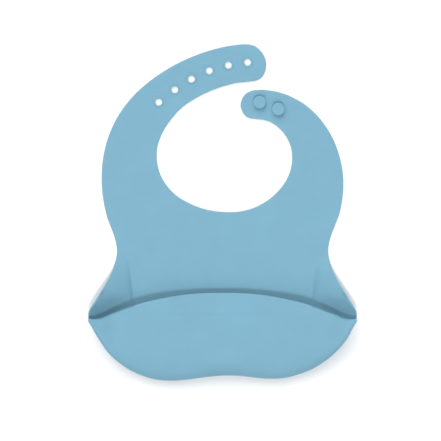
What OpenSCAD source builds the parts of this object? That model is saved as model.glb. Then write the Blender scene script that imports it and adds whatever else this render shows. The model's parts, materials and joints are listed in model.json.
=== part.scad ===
// Silicone catch bib for a baby, lying on its back with the front face up.
//
// Frame, millimetres: +Z out of the front, +Y towards the strap ends, +X to the
// right when looking at the front. The origin is under the middle of the part.
// The real bib is one moulding. Each sub-part below is one of its functional
// zones, and neighbours meet along the lines where the silicone flexes.

/* [Sheet] */
// Thickness of the silicone sheet
sheet_t = 1.8; // [1.4:0.1:2.4]
// Gap left along each flexing line of the flat sheet
flex_gap = 0.3; // [0.3:0.05:0.6]
// Gap left under the flexing lip of the pocket
lip_gap = 0.9; // [0.6:0.1:1.4]

/* [Neck and straps] */
// X and Y of the middle of the neck opening
neck_x = 1.8; // [0:0.1:4]
neck_y = 55.2; // [50:0.1:60]
// Angles of the flexing lines of the long strap, counted round the neck
long_strap_flex = [175, 154, 122.4, 94.2];
// Angles of the flexing lines of the short strap
short_strap_flex = [360, 382];

/* [Fastening holes] */
// Radius of a fastening hole
hole_r = 3.1; // [2.8:0.05:3.6]
// Outer radius of the raised rim round a hole
rim_r = 4.7; // [4.2:0.1:5.2]
// How far the rim stands above the strap
rim_rise = 0.4; // [0.2:0.05:0.8]
// Middle of each hole, from the shoulder to the strap end
holes = [[-56.8, 97.7], [-42.5, 108.7], [-27.7, 118.2], [-11.8, 125.7], [5.2, 130.6], [22.3, 133.2]];

/* [Fastening studs] */
// Radius of the stud's neck
stud_neck_r = 2.9; // [2.6:0.05:3.1]
// Height of the stud's neck above the strap
stud_neck_h = 2.6; // [2.2:0.1:3.4]
// Radius of the stud's flat head
stud_head_r = 5.7; // [5.2:0.1:6.4]
// Thickness of the stud's head
stud_head_h = 2.4; // [1.8:0.1:3]
// Rounding of the head's edge
stud_round = 0.8; // [0.4:0.1:1]
// Middle of each stud, from the strap end to the shoulder
studs = [[33, 97.6], [49.6, 91.6]];

/* [Waist and pocket] */
// Y of the fold across the waist
waist_y = -37; // [-40:0.5:-34]
// Y of the line on which the pocket's lip flexes
lip_y = -93; // [-96:0.5:-90]
// Height of the front wall's middle surface on that line
lip_z = 21; // [17:0.5:25]
// Rise of the front wall per millimetre towards the rim
wall_slope = 0.06; // [0:0.01:0.2]
// Distance over which the front wall bends down towards the middle of its rim
sag_bend = 8; // [4:1:12]
// Half length of the lip that flexes
lip_half = 97; // [90:1:98]
// Distance over which a gusset rises out of its crease
fold_w = 1.8; // [1.5:0.1:4]
// X at which the sheet starts to thin towards the pocket's corners, and X of the last slice there
thinning_x = 110; // [100:1:114]
corner_x = 118.4; // [117.6:0.1:118.4]
// Thickness of the sheet at the tight turn in the corners, as a share of the rest
corner_share = 0.6; // [0.5:0.05:0.7]
// X of the seams between the flat back of the pocket and the side gussets
seam_x = 75; // [70:0.5:76]

/* [Quality] */
// Degrees between the points of the round edges
arc_step = 3; // [1:1:6]
// Facets of a full circle
$fn = 48;

/* [Hidden] */
half_t = sheet_t / 2;
gap_deg = flex_gap / 2 / 76 * 57.3;

// Radius of the neck edge against the angle round the neck
neck_keys = [[70, 64], [78, 61.4], [90, 57.1], [105, 53.8], [120, 52.8], [135, 53.6], [150, 54.8],
    [165, 57.5], [180, 60.2], [200, 61.3], [220, 59.6], [240, 56.6], [265, 55.3], [290, 57.2],
    [315, 59.6], [340, 61.4], [360, 59.6], [375, 55.1], [390, 48.5], [398.4, 43.6], [405, 40]];
// Radius of the outer edge, long strap side and short strap side
long_keys = [[70, 100.4], [78, 96.2], [90, 91.6], [105, 88.1], [120, 87.5], [135, 89.7], [150, 94.5],
    [165, 100.5], [180, 106.7], [195, 113.2], [210, 120.5], [220, 126.5]];
short_keys = [[320, 122.8], [330, 117.4], [345, 109.4], [360, 100.5], [375, 91.2], [390, 81.6],
    [400, 74.8], [410, 68.2]];
// Round ends of the straps, from the outer edge to the neck edge
long_end = [[21.9, 149], [27.6, 148], [32.4, 144.8], [36.4, 139.8], [38.6, 134], [38.7, 128.6],
    [36.9, 122.8], [33.8, 119], [29.6, 117], [22, 116], [14.6, 115.3]];
short_end = [[45.8, 107.3], [35.4, 108.6], [25.7, 107.6], [19.3, 103.6], [16.1, 96.1], [17.3, 90.2],
    [21.3, 84.8], [28.2, 83], [36, 82.3]];
// Half width of the sides against Y, from the pocket corner to the chest
side_keys = [[-95, 119.7], [-93, 119.6], [-87.2, 118], [-76.6, 111.5], [-66, 105.1], [-55, 99.2],
    [-44.5, 95.4], [-34, 94], [-23, 95.9], [-12.5, 99.8], [-4, 103.1], [4, 106.4]];
// Y of the pocket's bottom edge against X
bottom_keys = [[-119.4, -96], [-118.6, -98], [-115.2, -103.3], [-112.1, -108.6], [-108.8, -113.9],
    [-105.3, -119.3], [-101.5, -124.6], [-96.4, -130], [-90, -135.3], [-81.8, -140.7], [-70, -146],
    [-58, -149.2], [-46, -150], [-34, -149.4], [-20, -147.5], [-5, -145.8], [8, -145.4], [20, -146.2],
    [33, -147.8], [46, -148.3], [55, -147.7], [62.5, -146], [77.4, -140.7], [86.9, -135.3],
    [94.2, -130], [100, -124.6], [105, -119.3], [109.1, -113.9], [112.4, -108.6], [115.2, -103.3],
    [118.6, -98], [119.4, -96]];
// Y of the pocket's rim against the distance from the middle
rim_keys = [[0, -72], [15, -72.1], [33, -73.5], [51, -76.3], [69, -80.2], [86, -85.5], [96.6, -89.5],
    [107, -94], [113, -95.2], [117, -95], [119.4, -93.8]];
// Height of the bottom edge's outermost line against the distance from the middle
turn_keys = [[0, 9], [25, 8.4], [46, 7.6], [70, 8.4], [90, 12], [105, 18], [115, 22.5], [119.4, 24]];
// Length of the rounding into the front wall and into the back
front_round_keys = [[0, 12], [20, 19], [46, 29], [70, 27], [90, 16], [100, 10], [110, 6], [115, 3.6],
    [119.4, 1.6]];
back_round_keys = [[0, 12], [46, 16], [80, 16], [100, 11], [110, 6.5], [115, 4], [119.4, 1.8]];
// Valley crease between the flat back and a gusset, distance from the middle against Y
crease_keys = [[-151, 76.2], [-110, 76.8], [-81, 79], [-47, 83.3], [-36, 84.6]];
// Rise of a gusset's outer edge against Y
gusset_keys = [[-151, 20.5], [-93, 20.5], [-85, 19], [-70, 14], [-55, 6], [-47, 2], [-40, 0], [-30, 0]];
// Hollowness of a gusset against Y: 1 is nearly plane, more is low inside and steep at the edge
hollow_keys = [[-151, 3], [-93, 3], [-85, 2.4], [-74, 1.3], [-60, 1], [-30, 1]];
// Height of the step with which a gusset leaves its crease against Y
fold_keys = [[-151, 2], [-90, 2], [-70, 2.4], [-50, 1.2], [-36, 0], [-30, 0]];
// Sag of the front wall towards its rim, and lift of the wall, against the distance from the middle
sag_keys = [[0, 0.5], [40, 0.42], [64, 0.26], [85, 0.06], [100, 0], [120, 0]];
lift_keys = [[0, 0], [88, 0], [97, 0.3], [108, 3], [119.4, 5.2]];

// ---- smooth curves through key values ----

function key_slope(k, i) =
    i == 0 ? (k[1][1] - k[0][1]) / (k[1][0] - k[0][0]) :
    i == len(k) - 1 ? (k[i][1] - k[i - 1][1]) / (k[i][0] - k[i - 1][0]) :
    (k[i + 1][1] - k[i - 1][1]) / (k[i + 1][0] - k[i - 1][0]);
function key_index(k, x) = max([0, for (i = [0 : len(k) - 2]) if (x >= k[i][0]) i]);
function curve(k, x) =
    let (i = key_index(k, x), h = k[i + 1][0] - k[i][0], s = (x - k[i][0]) / h, r = 1 - s)
    (1 + 2 * s) * r * r * k[i][1] + s * r * r * h * key_slope(k, i)
    + s * s * (3 - 2 * s) * k[i + 1][1] - s * s * r * h * key_slope(k, i + 1);
function path(p, steps) = [for (i = [0 : len(p) - 2], s = [0 : 1 / steps : 0.999])
    let (a = p[max(i - 1, 0)], b = p[i], c = p[i + 1], d = p[min(i + 2, len(p) - 1)])
    b + s / 2 * (c - a) + s * s * (a - 2.5 * b + 2 * c - d / 2) + s * s * s * (1.5 * (b - c) + (d - a) / 2)];
function bezier(a, b, c, d, s) = let (r = 1 - s)
    r * r * r * a + 3 * r * r * s * b + 3 * r * s * s * c + s * s * s * d;

// ---- outline of the flat sheet ----

function round_neck(a, r) = [neck_x + r * cos(a), neck_y + r * sin(a)];
function edge(keys, a, b) = let (n = max(1, round(abs(b - a) / arc_step)))
    [for (i = [0 : n]) let (t = a + (b - a) * i / n) round_neck(t, curve(keys, t))];
function sides(from, to, sign, n = 12) =
    [for (i = [0 : n]) let (y = from + (to - from) * i / n) [sign * curve(side_keys, y), y]];

module sheet(points) {
    linear_extrude(sheet_t) polygon(points);
}

// A stretch of strap between two flexing lines, seen as angles round the neck
module strap_piece(keys, a, b) {
    sheet(concat(edge(keys, a + gap_deg, b - gap_deg), edge(neck_keys, b - gap_deg, a + gap_deg)));
}

module hole_seats(list) {
    difference() {
        children();
        for (i = list) translate([holes[i][0], holes[i][1], -1]) cylinder(r = rim_r, h = sheet_t + 2);
    }
}

// ---- pocket surface: one slice per X, running rim, front wall, bottom edge, back ----

function wall_z(x, y) = let (d = y - lip_y)
    lip_z + wall_slope * d + curve(lift_keys, abs(x))
    - curve(sag_keys, abs(x)) * (sqrt(d * d + sag_bend * sag_bend) + d - sag_bend) / 2;
function side_reach(y) = y < -93 ? 119.6 : curve(side_keys, y);
function gusset_share(u, y) = u <= 0 ? 0 : pow(u * u / (u + 0.06), curve(hollow_keys, y));
function back_z(x, y) = let (c = curve(crease_keys, y), u = (abs(x) - c) / (side_reach(y) - c),
        d = max(0, abs(x) - c))
    half_t + max(0, curve(gusset_keys, y)) * gusset_share(u, y)
    + curve(fold_keys, y) * d * d / (d * d + fold_w * fold_w);
function bottom_y(x) = curve(bottom_keys, x) + half_t;
function rim_y(x) = curve(rim_keys, abs(x));
function turn_z(x) = curve(turn_keys, abs(x));
function front_y(x) = bottom_y(x) + curve(front_round_keys, abs(x));
function back_y(x) = bottom_y(x) + curve(back_round_keys, abs(x));

// Y at which the side edge passes a distance from the middle
function side_y(x, lo = -93, hi = -36, n = 18) = n == 0 ? (lo + hi) / 2 :
    let (m = (lo + hi) / 2) curve(side_keys, m) > abs(x) ? side_y(x, m, hi, n - 1) : side_y(x, lo, m, n - 1);
gusset_top = waist_y - flex_gap / 2;
function back_top(x) = curve(side_keys, gusset_top) > abs(x) ? gusset_top : side_y(x);

// Front wall and bottom edge of one slice, from a top Y down and round to the back
function wall_slice(x, top) =
    let (fy = min(front_y(x), top - 0.3), by = back_y(x), tz = turn_z(x), ty = bottom_y(x),
         f = [x, fy, wall_z(x, fy)], t = [x, ty, tz], b = [x, by, back_z(x, by)])
    concat([for (s = [0 : 1 / 6 : 0.99]) let (y = top + (fy - top) * s) [x, y, wall_z(x, y)]],
        [for (s = [0 : 1 / 8 : 0.99]) bezier(f, f + [0, -0.55 * (fy - ty), -0.04 * (fy - ty)],
            t + [0, 0, 0.55 * (f[2] - tz)], t, s)],
        [for (s = [0 : 1 / 8 : 1.001]) bezier(t, t - [0, 0, 0.55 * (tz - b[2])],
            b - [0, 0.55 * (by - ty), 0], b, s)]);
function back_slice(x) = let (a = back_y(x), b = back_top(x))
    [for (s = [0 : 1 / 14 : 1.001]) let (y = a + (b - a) * s) [x, y, back_z(x, y)]];

function unit(v) = v / norm(v);
function grid_normal(g, i, j) = let (m = len(g) - 1, n = len(g[0]) - 1)
    unit(cross(g[min(i + 1, m)][j] - g[max(i - 1, 0)][j], g[i][max(j - 1, 0)] - g[i][min(j + 1, n)]));
function back_normal(x, y) = unit([(back_z(x - 0.2, y) - back_z(x + 0.2, y)) / 0.4,
    (back_z(x, y - 0.2) - back_z(x, y + 0.2)) / 0.4, 1]);

// Half thickness, which thins towards the pocket's corners
function half_at(x) = half_t * (1 - (1 - corner_share) * max(0, abs(x) - thinning_x)
    / (corner_x - thinning_x));

// Closed shell from a grid of middle-surface points and their normals
module shell(g, n) {
    rows = len(g);
    cols = len(g[0]);
    half = rows * cols;
    points = concat([for (i = [0 : rows - 1], j = [0 : cols - 1]) g[i][j] + half_at(g[i][j][0]) * n[i][j]],
        [for (i = [0 : rows - 1], j = [0 : cols - 1]) g[i][j] - half_at(g[i][j][0]) * n[i][j]]);
    function at(i, j) = i * cols + j;
    faces = concat(
        [for (i = [0 : rows - 2], j = [0 : cols - 2]) each
            [[at(i, j), at(i, j + 1), at(i + 1, j + 1)], [at(i, j), at(i + 1, j + 1), at(i + 1, j)]]],
        [for (i = [0 : rows - 2], j = [0 : cols - 2]) each
            [[half + at(i, j), half + at(i + 1, j + 1), half + at(i, j + 1)],
             [half + at(i, j), half + at(i + 1, j), half + at(i + 1, j + 1)]]],
        [for (i = [0 : rows - 2]) each
            [[at(i, 0), at(i + 1, 0), half + at(i + 1, 0)], [at(i, 0), half + at(i + 1, 0), half + at(i, 0)],
             [at(i, cols - 1), half + at(i + 1, cols - 1), at(i + 1, cols - 1)],
             [at(i, cols - 1), half + at(i, cols - 1), half + at(i + 1, cols - 1)]]],
        [for (j = [0 : cols - 2]) each
            [[at(0, j), half + at(0, j), half + at(0, j + 1)], [at(0, j), half + at(0, j + 1), at(0, j + 1)],
             [at(rows - 1, j), half + at(rows - 1, j + 1), half + at(rows - 1, j)],
             [at(rows - 1, j), at(rows - 1, j + 1), half + at(rows - 1, j + 1)]]]);
    polyhedron(points, faces);
}

// Stations across the pocket: even steps on the flat part, edge-following steps on the gussets
gusset_xs = concat([for (x = [seam_x : 2.5 : 91]) x], [curve(side_keys, gusset_top)],
    [for (y = [-40 : -4 : -84]) curve(side_keys, y)], [corner_x]);
flat_xs = [for (i = [-15 : 15]) seam_x * i / 15];
wall_xs = concat([for (i = [len(gusset_xs) - 1 : -1 : 1]) -gusset_xs[i]], flat_xs,
    [for (i = [1 : len(gusset_xs) - 1]) gusset_xs[i]]);

// ---- sub-parts ----

module chest_panel() {
    color([0.53, 0.73, 0.82]) sheet(concat(
        edge(neck_keys, long_strap_flex[0] + gap_deg, short_strap_flex[0] - gap_deg),
        edge(short_keys, short_strap_flex[0] - gap_deg, 331),
        sides(-4.6, waist_y + flex_gap / 2, 1),
        sides(waist_y + flex_gap / 2, -4.6, -1),
        edge(long_keys, 209, long_strap_flex[0] + gap_deg)));
}

module lower_panel() {
    color([0.52, 0.72, 0.81]) sheet(concat(
        [[-seam_x, gusset_top], [seam_x, gusset_top]],
        [for (i = [len(flat_xs) - 1 : -1 : 0]) [flat_xs[i], back_y(flat_xs[i])]]));
}

module gusset(sign) {
    g = [for (i = [0 : len(gusset_xs) - 1])
        back_slice(sign * gusset_xs[sign > 0 ? i : len(gusset_xs) - 1 - i])];
    shell(g, [for (s = g) [for (p = s) back_normal(p[0], p[1])]]);
}

module left_gusset() {
    color([0.47, 0.67, 0.77]) gusset(-1);
}

module right_gusset() {
    color([0.47, 0.67, 0.77]) gusset(1);
}

module pocket_front() {
    g = [for (x = wall_xs) wall_slice(x, abs(x) <= lip_half ? lip_y - lip_gap / 2 : rim_y(x))];
    last = len(g[0]) - 1;
    color([0.50, 0.70, 0.79]) shell(g, [for (i = [0 : len(g) - 1]) [for (j = [0 : last])
        j == last ? back_normal(g[i][j][0], g[i][j][1]) : -grid_normal(g, i, j)]]);
}

module pocket_lip() {
    n = 32;
    g = [for (i = [-n : n]) let (x = (lip_half - 0.8) * i / n, a = rim_y(x), b = lip_y + lip_gap / 2)
        [for (s = [0 : 1 / 5 : 1.001]) let (y = a + (b - a) * s) [x, y, wall_z(x, y)]]];
    color([0.50, 0.70, 0.79]) shell(g, [for (s = g) [for (p = s)
        unit([0, wall_z(p[0], p[1] - 0.2) - wall_z(p[0], p[1] + 0.2), 0.4])]]);
}

module left_strap_shoulder() {
    color([0.53, 0.73, 0.82]) strap_piece(long_keys, long_strap_flex[1], long_strap_flex[0]);
}

module left_strap_lower() {
    color([0.53, 0.73, 0.82]) hole_seats([0, 1])
        strap_piece(long_keys, long_strap_flex[2], long_strap_flex[1]);
}

module left_strap_upper() {
    color([0.53, 0.73, 0.82]) hole_seats([2, 3])
        strap_piece(long_keys, long_strap_flex[3], long_strap_flex[2]);
}

module left_strap_end() {
    color([0.53, 0.73, 0.82]) hole_seats([4, 5])
        sheet(concat(edge(long_keys, long_strap_flex[3] - gap_deg, 79.5), path(long_end, 4),
            edge(neck_keys, 78, long_strap_flex[3] - gap_deg)));
}

module right_strap_shoulder() {
    color([0.53, 0.73, 0.82]) strap_piece(short_keys, short_strap_flex[0], short_strap_flex[1]);
}

module right_strap_end() {
    color([0.53, 0.73, 0.82]) sheet(concat(edge(short_keys, short_strap_flex[1] + gap_deg, 408.5),
        path(short_end, 4), edge(neck_keys, 398.4, short_strap_flex[1] + gap_deg)));
}

module hole_rim(i) {
    color([0.54, 0.74, 0.83]) translate([holes[i][0], holes[i][1], 0]) difference() {
        cylinder(r = rim_r, h = sheet_t + rim_rise);
        translate([0, 0, -1]) cylinder(r = hole_r, h = sheet_t + rim_rise + 2);
    }
}

module hole_rim_1() {
    hole_rim(0);
}

module hole_rim_2() {
    hole_rim(1);
}

module hole_rim_3() {
    hole_rim(2);
}

module hole_rim_4() {
    hole_rim(3);
}

module hole_rim_5() {
    hole_rim(4);
}

module hole_rim_6() {
    hole_rim(5);
}

module stud(i) {
    head = stud_neck_h + stud_head_h;
    color([0.54, 0.74, 0.83]) translate([studs[i][0], studs[i][1], sheet_t]) rotate_extrude()
        polygon(concat([[0, 0], [stud_neck_r + 0.5, 0], [stud_neck_r, 0.6], [stud_neck_r, stud_neck_h],
            [stud_head_r - 0.4, stud_neck_h], [stud_head_r, stud_neck_h + 0.4]],
            [for (a = [0 : 22.5 : 90]) [stud_head_r - stud_round + stud_round * cos(a),
                head - stud_round + stud_round * sin(a)]], [[0, head]]));
}

module stud_at_strap_end() {
    stud(0);
}

module stud_at_shoulder() {
    stud(1);
}

chest_panel();
lower_panel();
left_gusset();
right_gusset();
pocket_front();
pocket_lip();
left_strap_shoulder();
left_strap_lower();
left_strap_upper();
left_strap_end();
right_strap_shoulder();
right_strap_end();
hole_rim_1();
hole_rim_2();
hole_rim_3();
hole_rim_4();
hole_rim_5();
hole_rim_6();
stud_at_strap_end();
stud_at_shoulder();
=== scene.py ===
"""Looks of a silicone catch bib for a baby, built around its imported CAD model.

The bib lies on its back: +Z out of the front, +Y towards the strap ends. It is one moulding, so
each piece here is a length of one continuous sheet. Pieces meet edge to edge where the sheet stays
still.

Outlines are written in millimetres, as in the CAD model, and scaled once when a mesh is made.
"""
import json
import math
from bisect import bisect_right

import bpy
import bmesh
from mathutils import Matrix, Vector
from mathutils.geometry import delaunay_2d_cdt


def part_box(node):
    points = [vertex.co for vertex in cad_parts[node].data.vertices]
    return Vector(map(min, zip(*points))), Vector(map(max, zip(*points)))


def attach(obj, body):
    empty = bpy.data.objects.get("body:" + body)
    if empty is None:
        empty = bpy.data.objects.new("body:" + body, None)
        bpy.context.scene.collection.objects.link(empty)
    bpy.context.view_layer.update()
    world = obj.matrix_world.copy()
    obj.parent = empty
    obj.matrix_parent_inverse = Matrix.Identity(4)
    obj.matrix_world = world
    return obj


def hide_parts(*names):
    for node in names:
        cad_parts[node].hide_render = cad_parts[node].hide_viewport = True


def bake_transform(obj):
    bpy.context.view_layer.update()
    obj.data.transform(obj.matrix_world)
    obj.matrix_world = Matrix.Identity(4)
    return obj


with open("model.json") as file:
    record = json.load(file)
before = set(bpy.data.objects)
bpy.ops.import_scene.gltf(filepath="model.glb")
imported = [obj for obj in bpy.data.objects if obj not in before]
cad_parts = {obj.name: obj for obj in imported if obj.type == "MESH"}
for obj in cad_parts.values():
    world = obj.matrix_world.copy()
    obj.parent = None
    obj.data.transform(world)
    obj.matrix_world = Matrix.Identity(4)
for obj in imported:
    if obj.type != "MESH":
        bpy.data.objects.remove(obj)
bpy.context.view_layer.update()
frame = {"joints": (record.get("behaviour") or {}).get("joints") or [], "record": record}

MM = 0.001
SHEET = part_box("chest_panel")[1].z / MM   # thickness of the sheet
HALF = SHEET / 2
EDGE_R = 0.75                             # rounding of the sheet's free edges
EDGE_STEPS = 5
CORNER_START = 110                        # |X| where the sheet starts to thin
CORNER_X = 118.4                          # |X| of the CAD model's last slice
CORNER_THINNING = 0.4                     # share of its thickness that the sheet loses between them
CORNER_TIP = 119.0                        # |X| of the slice that ends the pointed corner
NEAR = 1e-3                               # points closer than this to a seam are on it

MOUNTS = {m["name"]: m for m in frame["record"]["mounts"]}
JOINTS = {j["name"]: j for j in frame["joints"]}
NECK = Vector((1.8, 55.2))                # middle of the neck opening

HOLES = [Vector(MOUNTS[f"hole_{i}"]["pos_m"][:2]) / MM for i in range(1, 7)]
HOLE_R = MOUNTS["hole_1"]["dims"]["r_mm"]
RIM_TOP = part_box("hole_rim_1")[1].z / MM
RIM_FOOT = 5.2                            # radius at which a hole's rim starts to rise
RIM_SIDES = 48
# Section of a rim, from its foot on the strap to the bottom of the hole: radius and height
RIM_SECTION = [(5.05, SHEET - 0.1), (4.85, SHEET - 0.14), (4.7, SHEET), (4.55, RIM_TOP - 0.1),
               (4.2, RIM_TOP), (3.7, RIM_TOP), (3.4, RIM_TOP - 0.06),
               (HOLE_R + 0.1, RIM_TOP - 0.22), (HOLE_R, RIM_TOP - 0.5), (HOLE_R, 0.4),
               (HOLE_R + 0.1, 0.14), (3.4, 0.03), (3.7, 0)]

WAIST_TOP = -34                           # seam between the chest and the waist
WAIST_END = -56                           # seam between the waist and the pocket
LIP_Y = JOINTS["lip_flex"]["pos_m"][1] / MM
LIP_Z = JOINTS["lip_flex"]["pos_m"][2] / MM
LIP_X = 96                                # half length of the lip that flexes
LIP_STRIP = 1.2                           # height of the lip's ends
LIP_REGION = 3                            # depth below the lip's axis in which its seam lies
WALL_SLOPE = 0.06                         # rise of the front wall towards its rim
SAG_BEND = 8                              # length over which it bends down into its sag
ROUND_PULL = 0.55                         # fullness of the rounding at the bottom edge
ROUND_DROP = 0.07                         # slope with which the front wall enters that rounding
WALL_STEPS, ROUND_STEPS, BACK_STEPS = 16, 14, 30   # steps along each stretch of a slice
CHEST_SIDE_TOP = -4.6                     # Y at which the chest's sides meet the straps' outer arcs
LONG_ARC_END, SHORT_ARC_START = 209, 331  # angles at which those arcs meet the sides

# ---- design curves: key values, with a smooth curve through them ----

NECK_KEYS = [(70, 64), (78, 61.4), (90, 57.1), (105, 53.8), (120, 52.8), (135, 53.6), (150, 54.8),
             (165, 57.5), (180, 60.2), (200, 61.3), (220, 59.6), (240, 56.6), (265, 55.3),
             (290, 57.2), (315, 59.6), (340, 61.4), (360, 59.6), (375, 55.1), (390, 48.5),
             (398.4, 43.6), (405, 40)]
LONG_KEYS = [(70, 100.4), (78, 96.2), (90, 91.6), (105, 88.1), (120, 87.5), (135, 89.7),
             (150, 94.5), (165, 100.5), (180, 106.7), (195, 113.2), (210, 120.5), (220, 126.5)]
SHORT_KEYS = [(320, 122.8), (330, 117.4), (345, 109.4), (360, 100.5), (375, 91.2), (390, 81.6),
              (400, 74.8), (410, 68.2)]
LONG_END = [(21.9, 149), (27.6, 148), (32.4, 144.8), (36.4, 139.8), (38.6, 134), (38.7, 128.6),
            (36.9, 122.8), (33.8, 119), (29.6, 117), (22, 116), (14.6, 115.3)]
SHORT_END = [(45.8, 107.3), (35.4, 108.6), (25.7, 107.6), (19.3, 103.6), (16.1, 96.1), (17.3, 90.2),
             (21.3, 84.8), (28.2, 83), (36, 82.3)]
SIDE_KEYS = [(-95, 119.7), (-93, 119.6), (-87.2, 118), (-76.6, 111.5), (-66, 105.1), (-55, 99.2),
             (-44.5, 95.4), (-34, 94), (-23, 95.9), (-12.5, 99.8), (-4, 103.1), (4, 106.4)]
BOTTOM_KEYS = [(-119.4, -96), (-118.6, -98), (-115.2, -103.3), (-112.1, -108.6), (-108.8, -113.9),
               (-105.3, -119.3), (-101.5, -124.6), (-96.4, -130), (-90, -135.3), (-81.8, -140.7),
               (-70, -146), (-58, -149.2), (-46, -150), (-34, -149.4), (-20, -147.5), (-5, -145.8),
               (8, -145.4), (20, -146.2), (33, -147.8), (46, -148.3), (55, -147.7), (62.5, -146),
               (77.4, -140.7), (86.9, -135.3), (94.2, -130), (100, -124.6), (105, -119.3),
               (109.1, -113.9), (112.4, -108.6), (115.2, -103.3), (118.6, -98), (119.4, -96)]
RIM_KEYS = [(0, -72), (15, -72.1), (33, -73.5), (51, -76.3), (69, -80.2), (86, -85.5),
            (96.6, -89.5), (107, -94), (113, -95.2), (117, -95), (119.4, -93.8)]
TURN_KEYS = [(0, 9), (25, 8.4), (46, 7.6), (70, 8.4), (90, 12), (105, 18), (115, 22.5), (119.4, 24)]
FRONT_ROUND_KEYS = [(0, 12), (20, 19), (46, 29), (70, 27), (90, 16), (100, 10), (110, 6),
                    (115, 3.6), (119.4, 1.6)]
BACK_ROUND_KEYS = [(0, 12), (46, 16), (80, 16), (100, 11), (110, 6.5), (115, 4), (119.4, 1.8)]
CREASE_KEYS = [(-151, 76.2), (-110, 76.8), (-81, 79), (-47, 83.3), (-36, 84.6)]
GUSSET_KEYS = [(-151, 20.5), (-93, 20.5), (-85, 19), (-70, 14), (-55, 6), (-47, 2), (-40, 0),
               (-30, 0)]
HOLLOW_KEYS = [(-151, 3), (-93, 3), (-85, 2.4), (-74, 1.3), (-60, 1), (-30, 1)]
FOLD_KEYS = [(-151, 2), (-90, 2), (-70, 2.4), (-50, 1.2), (-36, 0), (-30, 0)]
FOLD_W = 1.8                              # distance over which a gusset leaves its crease
SAG_KEYS = [(0, 0.5), (40, 0.42), (64, 0.26), (85, 0.06), (100, 0), (120, 0)]
LIFT_KEYS = [(0, 0), (88, 0), (97, 0.3), (108, 3), (119.4, 5.2)]


def slope(keys, i):
    """The curve's slope at a key, from the keys on both sides of it."""
    a, b = keys[max(i - 1, 0)], keys[min(i + 1, len(keys) - 1)]
    return (b[1] - a[1]) / (b[0] - a[0])


def curve(keys, x):
    """The value at x of the smooth curve through the keys."""
    i = min(max(bisect_right([k[0] for k in keys], x) - 1, 0), len(keys) - 2)
    h = keys[i + 1][0] - keys[i][0]
    s = (x - keys[i][0]) / h
    r = 1 - s
    return ((1 + 2 * s) * r * r * keys[i][1] + s * r * r * h * slope(keys, i)
            + s * s * (3 - 2 * s) * keys[i + 1][1] - s * s * r * h * slope(keys, i + 1))


def path(points, steps=8):
    """A smooth open curve through given points."""
    p = [Vector(q) for q in points]
    out = []
    for i in range(len(p) - 1):
        a, b, c, d = p[max(i - 1, 0)], p[i], p[i + 1], p[min(i + 2, len(p) - 1)]
        for k in range(steps):
            s = k / steps
            out.append(b + s / 2 * (c - a) + s * s * (a - 2.5 * b + 2 * c - d / 2)
                       + s ** 3 * (1.5 * (b - c) + (d - a) / 2))
    return out + [p[-1]]


def bezier(a, b, c, d, s):
    r = 1 - s
    return r ** 3 * a + 3 * r * r * s * b + 3 * r * s * s * c + s ** 3 * d


def steps(a, b, n):
    return [a + (b - a) * i / n for i in range(n + 1)]


def round_neck(angle, r):
    t = math.radians(angle)
    return NECK + r * Vector((math.cos(t), math.sin(t)))


def edge(keys, a, b, step=1.0):
    """Points of a strap's edge between two angles round the neck."""
    n = max(1, round(abs(b - a) / step))
    return [round_neck(t, curve(keys, t)) for t in steps(a, b, n)]


# ---- from a middle surface to a closed sheet with rounded edges ----

def middle_surface(points, faces):
    """The sheet's middle surface as one welded mesh, facing the front."""
    mid = bmesh.new()
    verts = [mid.verts.new(p) for p in points]
    for f in faces:
        mid.faces.new([verts[i] for i in f])
    loose = [v for v in mid.verts if not v.link_faces]
    bmesh.ops.delete(mid, geom=loose, context="VERTS")
    bmesh.ops.remove_doubles(mid, verts=mid.verts, dist=NEAR)
    bmesh.ops.recalc_face_normals(mid, faces=mid.faces)
    return mid


def hole_at(v, holes):
    """The middle of the hole whose edge a point is on, or None."""
    for h in holes:
        if (v.co.xy - h).length < RIM_FOOT + 0.05:
            return h
    return None


def half_at(x):
    """Half the sheet's thickness, less towards the tight turns at the pocket's corners."""
    return HALF * (1 - CORNER_THINNING * max(0, abs(x) - CORNER_START) / (CORNER_X - CORNER_START))


def edge_profile(base, out, up, half):
    """Offsets and heights of a rounded free edge, from the top to the bottom."""
    edge_r = EDGE_R * half / HALF
    flat_part = half - edge_r
    section = []
    for sign in (1, -1):
        turn = steps(0, math.pi / 2, EDGE_STEPS)[1:]
        for t in turn if sign > 0 else turn[::-1]:
            reach = edge_r * math.sin(t)
            section.append(base + out * reach + up * sign * (flat_part + edge_r * math.cos(t)))
    return section


def rim_profile(point, centre):
    """A hole's raised rim, from its foot on the top to the bottom face."""
    away = (point.xy - centre).normalized()
    return [(centre + away * r).to_3d() + Vector((0, 0, z)) for r, z in RIM_SECTION]


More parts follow.
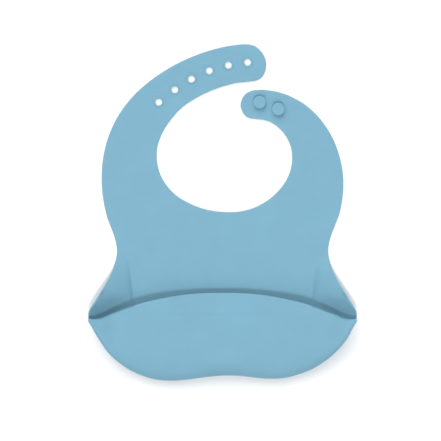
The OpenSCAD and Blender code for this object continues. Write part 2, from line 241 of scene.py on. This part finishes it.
def thicken(name, points, faces, is_seam, facing=None, holes=()):
    """Makes a closed sheet around a middle surface given in millimetres.

    Free edges are rounded, seam edges are cut square, and each hole gets a raised rim. facing is a
    function from a point to the sheet's normal there, where the surface has one in closed form.
    """
    mid = middle_surface(points, faces)
    mid.verts.index_update()
    if facing and sum(f.normal.z * f.calc_area() for f in mid.faces) < 0:
        bmesh.ops.reverse_faces(mid, faces=mid.faces)
    mid.normal_update()
    mesh = bmesh.new()
    up = {v: facing(v.co) if facing else v.normal.copy() for v in mid.verts}
    border = [e.link_loops[0] for e in mid.edges if len(e.link_loops) == 1]
    hole_of = {v: hole_at(v, holes) for l in border for v in l.edge.verts}
    sides = {}
    for l in border:
        a, b = l.vert, l.link_loop_next.vert
        if hole_of[a]:
            continue
        for v in (a, b):
            side = (b.co - a.co).normalized().cross(up[v])
            sides.setdefault(v, []).append((is_seam(a.co, b.co), side))
    out = {}
    for v, found in sides.items():
        free = [side for seam, side in found if not seam]
        if free:
            out[v] = sum(free, Vector()).normalized()
            for seam, side in found:   # at a seam's end, the rounding stays in the seam's plane
                if seam:
                    out[v] = (out[v] - side * out[v].dot(side)).normalized()

    half = {v: half_at(v.co.x) for v in mid.verts}
    base = {v: v.co - out[v] * EDGE_R * half[v] / HALF if v in out else v.co.copy()
            for v in mid.verts}
    top = {v: mesh.verts.new(base[v] + up[v] * half[v]) for v in mid.verts}
    bottom = {v: mesh.verts.new(base[v] - up[v] * half[v]) for v in mid.verts}
    for f in mid.faces:
        mesh.faces.new([top[v] for v in f.verts])
        mesh.faces.new([bottom[v] for v in reversed(f.verts)])
    wall = {}
    for v in hole_of:
        between = []
        if hole_of[v]:
            between = rim_profile(v.co, hole_of[v])
        elif v in out:
            between = edge_profile(base[v], out[v], up[v], half[v])
        wall[v] = [top[v]] + [mesh.verts.new(p) for p in between] + [bottom[v]]
    cuts = []
    for l in border:
        a, b = l.vert, l.link_loop_next.vert
        if not hole_of[a] and is_seam(a.co, b.co):
            cuts.append(mesh.faces.new(wall[a] + wall[b][::-1]))
            continue
        for k in range(len(wall[a]) - 1):
            mesh.faces.new([wall[b][k], wall[a][k], wall[a][k + 1], wall[b][k + 1]])
    mid.free()
    return finish_piece(name, mesh, cuts)


def finish_piece(name, mesh, sharp_faces=()):
    """Turns a bmesh in millimetres into a smooth-shaded object in metres."""
    for f in mesh.faces:
        f.smooth = True
    for f in sharp_faces:
        f.smooth = False
        for e in f.edges:
            e.smooth = False
    mesh.transform(Matrix.Scale(MM, 4))
    data = bpy.data.meshes.new(name)
    mesh.to_mesh(data)
    mesh.free()
    piece = bpy.data.objects.new(name, data)
    bpy.context.scene.collection.objects.link(piece)
    return piece


# ---- flat pieces ----

def inside(p, outline):
    """Whether a point lies within a closed outline."""
    hit = False
    for a, b in zip(outline, outline[1:] + outline[:1]):
        if (a.y > p.y) != (b.y > p.y) and p.x < a.x + (p.y - a.y) * (b.x - a.x) / (b.y - a.y):
            hit = not hit
    return hit


def distance_to(p, outline):
    """The distance from a point to the nearest side of a closed outline."""
    best = 1e9
    for a, b in zip(outline, outline[1:] + outline[:1]):
        ab = b - a
        t = min(max((p - a).dot(ab) / max(ab.length_squared, 1e-12), 0), 1)
        best = min(best, (a + ab * t - p).length)
    return best


def flat_piece(name, outline, is_seam, holes=(), grid=2.5):
    """A flat length of sheet with an even net of points inside, so that it bends smoothly."""
    points = list(outline)
    edges = [(i, (i + 1) % len(outline)) for i in range(len(outline))]
    for h in holes:
        first = len(points)
        for i in range(RIM_SIDES):
            t = 2 * math.pi * i / RIM_SIDES
            points.append(h + RIM_FOOT * Vector((math.cos(t), math.sin(t))))
            edges.append((first + i, first + (i + 1) % RIM_SIDES))
    low = Vector((min(p.x for p in outline), min(p.y for p in outline)))
    high = Vector((max(p.x for p in outline), max(p.y for p in outline)))
    for j in range(int((high.y - low.y) / grid) + 1):
        for i in range(int((high.x - low.x) / grid) + 1):
            p = low + grid * Vector((i + (0.5 if j % 2 else 0.0), j))
            clear = all((p - h).length > RIM_FOOT + grid / 2 for h in holes)
            if clear and inside(p, outline) and distance_to(p, outline) > EDGE_R + grid / 3:
                points.append(p)
    found, _, faces, _, _, _ = delaunay_2d_cdt(points, edges, [], 0, 1e-6)
    kept = []
    for f in faces:
        a, b, c = (found[i] for i in f)
        middle = (a + b + c) / 3
        wide = abs((b - a).cross(c - a)) > NEAR   # drops flat slivers along straight edges
        in_hole = any((middle - h).length <= RIM_FOOT * 0.99 for h in holes)
        if wide and inside(middle, outline) and not in_hole:
            kept.append(f)
    return thicken(name, [p.to_3d() + Vector((0, 0, HALF)) for p in found], kept, is_seam,
                   facing=lambda p: Vector((0, 0, 1)), holes=holes)


def on_angle(*angles):
    """Whether an edge lies on one of the seams that run out from the middle of the neck."""
    def test(a, b):
        for angle in angles:
            t = math.radians(angle)
            across = Vector((-math.sin(t), math.cos(t)))
            if all(abs((p.xy - NECK).dot(across)) < NEAR for p in (a, b)):
                return True
        return False
    return test


def spaced(a, b, step=2.5):
    """Evenly spaced points between two others."""
    n = max(1, round((b - a).length / step))
    return [a.lerp(b, i / n) for i in range(1, n)]


def strap_outline(keys, a, b):
    outer, inner = edge(keys, a, b), edge(NECK_KEYS, b, a)
    return outer + spaced(outer[-1], inner[0]) + inner + spaced(inner[-1], outer[0])


def end_outline(keys, a, b, round_end, inner_from):
    outer, inner = edge(keys, a, b)[:-1], edge(NECK_KEYS, inner_from, a)
    return outer + path(round_end)[:-1] + inner + spaced(inner[-1], outer[0])


def chest_outline(left, right):
    """The chest panel: down from the long strap's seam, across the waist, up to the short strap."""
    down = [Vector((-curve(SIDE_KEYS, y), y)) for y in steps(CHEST_SIDE_TOP, WAIST_TOP, 24)]
    up_side = [Vector((curve(SIDE_KEYS, y), y)) for y in steps(WAIST_TOP, CHEST_SIDE_TOP, 24)]
    points = edge(LONG_KEYS, left, LONG_ARC_END) + down + spaced(down[-1], up_side[0]) + up_side
    points += edge(SHORT_KEYS, SHORT_ARC_START, right)
    inner = edge(NECK_KEYS, right, left)
    return points + spaced(points[-1], inner[0]) + inner + spaced(inner[-1], points[0])


# ---- pocket surface: one slice per X, running rim, front wall, bottom edge, back ----

def wall_z(x, y):
    """Height of the front wall's middle surface, which sags towards the middle of its rim."""
    d = y - LIP_Y
    sag = curve(SAG_KEYS, abs(x)) * (math.hypot(d, SAG_BEND) + d - SAG_BEND) / 2
    return LIP_Z + WALL_SLOPE * d + curve(LIFT_KEYS, abs(x)) - sag


def gusset_share(u, y):
    """The share of its rise that a gusset has made at a share u of the way out from its crease."""
    return 0 if u <= 0 else (u * u / (u + 0.06)) ** curve(HOLLOW_KEYS, y)


def back_z(x, y):
    """Height of the back's middle surface: flat between the creases, and rising on the gussets."""
    crease = curve(CREASE_KEYS, y)
    reach = 119.6 if y < -93 else curve(SIDE_KEYS, y)
    share = gusset_share((abs(x) - crease) / (reach - crease), y)
    fold = max(0, abs(x) - crease) ** 2
    step = curve(FOLD_KEYS, y) * fold / (fold + FOLD_W ** 2)
    return HALF + max(0, curve(GUSSET_KEYS, y)) * share + step


def rim_y(x):
    return curve(RIM_KEYS, abs(x))


def wall_top(x):
    """Y of the seam under the lip, carried on along the rim beyond the lip's ends."""
    return rim_y(LIP_X if abs(x) < LIP_X else x) - LIP_STRIP


def back_top(x):
    """Y at which a slice ends on the back: the waist seam, or the free edge of the gusset."""
    if abs(x) <= curve(SIDE_KEYS, WAIST_END):
        return WAIST_END
    low, high = -93, WAIST_END
    for _ in range(30):
        middle = (low + high) / 2
        if curve(SIDE_KEYS, middle) > abs(x):
            low = middle
        else:
            high = middle
    return low


def pocket_slice(x):
    """One slice of the middle surface: down the front wall, round the bottom edge, up the back."""
    top, turn = wall_top(x), curve(TURN_KEYS, abs(x))
    low = curve(BOTTOM_KEYS, x) + HALF
    fy = min(low + curve(FRONT_ROUND_KEYS, abs(x)), top - 0.3)
    by = low + curve(BACK_ROUND_KEYS, abs(x))
    f = Vector((x, fy, wall_z(x, fy)))
    t = Vector((x, low, turn))
    b = Vector((x, by, back_z(x, by)))
    along, rise = Vector((0, 1, 0)), Vector((0, 0, 1))
    points = [Vector((x, y, wall_z(x, y))) for y in steps(top, fy, WALL_STEPS)[:-1]]
    lean = along * -ROUND_PULL * (fy - low) + rise * -ROUND_DROP * (fy - low)
    points += [bezier(f, f + lean, t + rise * ROUND_PULL * (f.z - turn), t, s)
               for s in steps(0, 1, ROUND_STEPS)[:-1]]
    points += [bezier(t, t - rise * ROUND_PULL * (turn - b.z),
                      b - along * ROUND_PULL * (by - low), b, s) for s in steps(0, 1, ROUND_STEPS)]
    return points + [Vector((x, y, back_z(x, y))) for y in steps(by, back_top(x), BACK_STEPS)[1:]]


def grid_faces(rows, columns, first=0):
    return [[first + i * columns + j, first + i * columns + j + 1,
             first + (i + 1) * columns + j + 1, first + (i + 1) * columns + j]
            for i in range(rows - 1) for j in range(columns - 1)]


def from_grids(grids):
    points, faces = [], []
    for grid in grids:
        faces += grid_faces(len(grid), len(grid[0]), len(points))
        points += [p for row in grid for p in row]
    return points, faces


def stations():
    """X of the slices: even at first, finer over the creases, then where the free edge runs."""
    half = steps(2.5, 70, 27) + steps(71.25, 92.5, 17)
    half += [curve(SIDE_KEYS, y) for y in (-38, -41, -44)] + [LIP_X]
    half += [curve(SIDE_KEYS, y) for y in steps(-48, -86, 19)] + [CORNER_X, CORNER_TIP]
    return [-x for x in reversed(half)] + [0] + half


def pocket_piece():
    xs = stations()
    grids = [[pocket_slice(x) for x in xs]]
    for sign in (-1, 1):
        side = [x for x in xs if x * sign >= LIP_X]
        grids.append([[Vector((x, y, wall_z(x, y))) for y in steps(rim_y(x), wall_top(x), 2)]
                      for x in side])
    points, faces = from_grids(grids)

    def is_seam(a, b):
        at_waist = abs(a.y - WAIST_END) < NEAR and abs(b.y - WAIST_END) < NEAR
        at_lip = min(a.z, b.z) > LIP_Z - LIP_REGION and max(abs(a.x), abs(b.x)) <= LIP_X + NEAR
        return at_waist or at_lip
    return thicken("pocket_shell", points, faces, is_seam)


def waist_piece():
    reach = curve(SIDE_KEYS, WAIST_END)
    xs = [x for x in stations() if abs(x) < reach + NEAR]
    grid = []
    for x in xs:
        row = []
        for y in steps(WAIST_END, WAIST_TOP, 22):
            scaled = x * curve(SIDE_KEYS, y) / reach
            row.append(Vector((scaled, y, back_z(scaled, y))))
        grid.append(row)
    points, faces = from_grids([grid])

    def is_seam(a, b):
        return any(abs(a.y - y) < NEAR and abs(b.y - y) < NEAR for y in (WAIST_TOP, WAIST_END))
    return thicken("waist_panel", points, faces, is_seam)


def lip_piece():
    xs = [x for x in stations() if abs(x) < LIP_X + NEAR]
    grid = [[Vector((x, y, wall_z(x, y))) for y in steps(rim_y(x), wall_top(x), 10)] for x in xs]
    points, faces = from_grids([grid])
    seam_y = wall_top(0)

    def is_seam(a, b):
        low = abs(a.y - seam_y) < NEAR and abs(b.y - seam_y) < NEAR
        end = min(abs(a.x), abs(b.x)) > LIP_X - NEAR
        return low or end
    return thicken("pocket_lip_edge", points, faces, is_seam)


# ---- studs ----

def stud_piece(name, mount):
    """A stud with a waisted neck and a flat head with a soft edge, as one turned solid."""
    centre = Vector(MOUNTS[mount]["pos_m"]) / MM
    low, high = (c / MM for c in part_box(name))
    head_r, top = (high.x - low.x) / 2, high.z
    neck_r, head_low, edge_r = 2.9, SHEET + 2.6, 0.8
    foot_r, throat_r = 0.8, 0.6            # fillets at the neck's two ends
    rooted = 0.6                           # depth of the stud's foot in the strap
    section = [(0, SHEET - rooted), (neck_r + foot_r, SHEET - rooted), (neck_r + foot_r, SHEET)]
    section += [(neck_r + foot_r - foot_r * math.sin(t), SHEET + foot_r - foot_r * math.cos(t))
                for t in steps(0.3, math.pi / 2, 5)]
    section += [(neck_r + throat_r - throat_r * math.cos(t),
                 head_low - throat_r + throat_r * math.sin(t)) for t in steps(0, math.pi / 2, 5)]
    section += [(head_r - 0.5, head_low), (head_r - 0.15, head_low + 0.15),
                (head_r, head_low + 0.5)]
    section += [(head_r - edge_r + edge_r * math.cos(t), top - edge_r + edge_r * math.sin(t))
                for t in steps(0, math.pi / 2, 7)]
    section += [(head_r * k, top) for k in (0.6, 0.3)] + [(0, top)]
    mesh = bmesh.new()
    around = 72
    rings = []
    for r, z in section:
        if r == 0:
            rings.append([mesh.verts.new((centre.x, centre.y, z))])
            continue
        rings.append([mesh.verts.new((centre.x + r * math.cos(a), centre.y + r * math.sin(a), z))
                      for a in steps(0, 2 * math.pi, around)[:-1]])
    for low_ring, high_ring in zip(rings, rings[1:]):
        for i in range(around):
            j = (i + 1) % around
            corners = [low_ring[i % len(low_ring)], low_ring[j % len(low_ring)],
                       high_ring[j % len(high_ring)], high_ring[i % len(high_ring)]]
            mesh.faces.new(list(dict.fromkeys(corners)))
    return finish_piece(name + "_solid", mesh)


# ---- material ----

def silicone(name, tint):
    """Matte, soft-touch silicone: faint cloudiness in its colour and a very fine mould grain."""
    material = bpy.data.materials.new(name)
    material.use_nodes = True
    nodes, links = material.node_tree.nodes, material.node_tree.links
    shader = nodes["Principled BSDF"]
    place = nodes.new("ShaderNodeTexCoord")

    def noise(scale, detail):
        node = nodes.new("ShaderNodeTexNoise")
        node.inputs["Scale"].default_value = scale
        node.inputs["Detail"].default_value = detail
        links.new(place.outputs["Object"], node.inputs["Vector"])
        return node

    cloud = noise(38, 3)
    tone = nodes.new("ShaderNodeValToRGB")
    tone.color_ramp.elements[0].position = 0.3
    tone.color_ramp.elements[1].position = 0.7
    tone.color_ramp.elements[0].color = [c * 0.975 for c in tint] + [1]
    tone.color_ramp.elements[1].color = [c * 1.02 for c in tint] + [1]
    links.new(cloud.outputs["Fac"], tone.inputs["Fac"])
    links.new(tone.outputs["Color"], shader.inputs["Base Color"])

    polish = noise(160, 4)
    rough = nodes.new("ShaderNodeMapRange")
    rough.inputs["To Min"].default_value = 0.5
    rough.inputs["To Max"].default_value = 0.62
    links.new(polish.outputs["Fac"], rough.inputs["Value"])
    links.new(rough.outputs["Result"], shader.inputs["Roughness"])

    grain = noise(2600, 2)
    wave = noise(55, 1)
    fine = nodes.new("ShaderNodeBump")
    fine.inputs["Strength"].default_value = 0.12
    fine.inputs["Distance"].default_value = 0.0001
    links.new(grain.outputs["Fac"], fine.inputs["Height"])
    soft = nodes.new("ShaderNodeBump")
    soft.inputs["Strength"].default_value = 0.05
    soft.inputs["Distance"].default_value = 0.001
    links.new(wave.outputs["Fac"], soft.inputs["Height"])
    links.new(fine.outputs["Normal"], soft.inputs["Normal"])
    links.new(soft.outputs["Normal"], shader.inputs["Normal"])
    shader.inputs["IOR"].default_value = 1.41
    shader.inputs["Specular IOR Level"].default_value = 0.15
    shader.inputs["Subsurface Weight"].default_value = 0.25
    shader.inputs["Subsurface Radius"].default_value = (0.6, 1.0, 1.3)
    shader.inputs["Subsurface Scale"].default_value = 0.0025
    shader.inputs["Sheen Weight"].default_value = 0.02
    shader.inputs["Sheen Roughness"].default_value = 0.5
    return material


BLUE = (0.180, 0.372, 0.484)
SHEET_SILICONE = silicone("sheet_silicone", BLUE)


def dress(piece, slot, *replaced):
    piece.data.materials.append(SHEET_SILICONE)
    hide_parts(*replaced)


def bend(piece):
    """Bakes a piece's placement into its mesh."""
    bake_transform(piece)


# ---- the bib ----

LEFT_SEAMS = (178, 157, 124, 95.7)
RIGHT_SEAMS = (357, 379)
LONG_TIP, SHORT_TIP = 79.5, 408.5

chest_seams = on_angle(LEFT_SEAMS[0], RIGHT_SEAMS[0])
chest = flat_piece("chest_front", chest_outline(LEFT_SEAMS[0], RIGHT_SEAMS[0]),
                   lambda a, b: chest_seams(a, b) or max(a.y, b.y) < WAIST_TOP + NEAR, grid=4)
dress(chest, "sheet_silicone", "chest_panel")
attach(chest, "chest")

waist = waist_piece()
dress(waist, "sheet_silicone")
bend(waist)

pocket = pocket_piece()
dress(pocket, "pocket_silicone", "lower_panel", "left_gusset", "right_gusset", "pocket_front")
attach(pocket, "pocket")

lip = lip_piece()
dress(lip, "pocket_silicone", "pocket_lip")
bend(lip)

left_shoulder = flat_piece("left_shoulder", strap_outline(LONG_KEYS, *LEFT_SEAMS[:2]),
                           on_angle(*LEFT_SEAMS[:2]))
dress(left_shoulder, "sheet_silicone", "left_strap_shoulder")
bend(left_shoulder)

left_lower = flat_piece("left_strap_with_first_holes", strap_outline(LONG_KEYS, *LEFT_SEAMS[1:3]),
                        on_angle(*LEFT_SEAMS[1:3]), HOLES[0:2])
dress(left_lower, "sheet_silicone", "left_strap_lower", "hole_rim_1", "hole_rim_2")
bend(left_lower)

left_upper = flat_piece("left_strap_with_middle_holes", strap_outline(LONG_KEYS, *LEFT_SEAMS[2:4]),
                        on_angle(*LEFT_SEAMS[2:4]), HOLES[2:4])
dress(left_upper, "sheet_silicone", "left_strap_upper", "hole_rim_3", "hole_rim_4")
bend(left_upper)

left_end = flat_piece("left_strap_with_last_holes",
                      end_outline(LONG_KEYS, LEFT_SEAMS[3], LONG_TIP, LONG_END, 78),
                      on_angle(LEFT_SEAMS[3]), HOLES[4:6])
dress(left_end, "sheet_silicone", "left_strap_end", "hole_rim_5", "hole_rim_6")
bend(left_end)

right_shoulder = flat_piece("right_shoulder", strap_outline(SHORT_KEYS, *RIGHT_SEAMS),
                            on_angle(*RIGHT_SEAMS))
dress(right_shoulder, "sheet_silicone", "right_strap_shoulder")
bend(right_shoulder)

right_end = flat_piece("right_strap_with_studs",
                       end_outline(SHORT_KEYS, RIGHT_SEAMS[1], SHORT_TIP, SHORT_END, 398.4),
                       on_angle(RIGHT_SEAMS[1]))
dress(right_end, "sheet_silicone", "right_strap_end")
bend(right_end)

for node, mount in (("stud_at_strap_end", "stud_end"), ("stud_at_shoulder", "stud_shoulder")):
    stud = stud_piece(node, mount)
    dress(stud, "rims_and_studs", node)
    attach(stud, "right_end")

# ---- floor, lights and camera ----

FLOOR_GAP = 0.0002


def make_floor():
    bpy.ops.mesh.primitive_plane_add(size=6, location=(0, 0, -FLOOR_GAP))
    floor = bpy.context.object
    floor.name = "floor"
    paper = bpy.data.materials.new("white_paper")
    paper.use_nodes = True
    shader = paper.node_tree.nodes["Principled BSDF"]
    shader.inputs["Base Color"].default_value = (0.89, 0.89, 0.89, 1)
    shader.inputs["Roughness"].default_value = 0.9
    shader.inputs["Specular IOR Level"].default_value = 0.0
    floor.data.materials.append(paper)


def sun(name, toward, strength, angle_deg):
    """A distant light. toward points from the bib to the light."""
    data = bpy.data.lights.new(name, "SUN")
    data.energy = strength
    data.angle = math.radians(angle_deg)
    lamp = bpy.data.objects.new(name, data)
    lamp.rotation_euler = Vector(toward).to_track_quat("Z", "Y").to_euler()
    bpy.context.scene.collection.objects.link(lamp)


def make_light():
    world = bpy.data.worlds.new("studio")
    world.use_nodes = True
    background = world.node_tree.nodes["Background"]
    background.inputs["Color"].default_value = (1, 1, 1, 1)
    background.inputs["Strength"].default_value = 0.35
    bpy.context.scene.world = world
    sun("front_high", (0.0, -0.34, 1), 1.2, 8)
    sun("front_low", (0.0, -0.8, 1), 0.6, 40)
    sun("back_left", (-0.16, 0.8, 1), 1.9, 55)


def make_camera():
    """Looks straight down on the bib, from far enough away to show its outline undistorted."""
    height, width = 6.0, 0.3926   # above the floor, and of the stretch of floor in view
    middle_x, middle_y = -0.0018, -0.0076
    data = bpy.data.cameras.new("camera")
    data.sensor_width = 36
    data.lens = data.sensor_width * height / width
    camera = bpy.data.objects.new("camera", data)
    camera.location = (middle_x, middle_y, height)
    bpy.context.scene.collection.objects.link(camera)
    bpy.context.scene.camera = camera


make_floor()
make_light()
make_camera()
bpy.context.scene.view_settings.view_transform = "Standard"
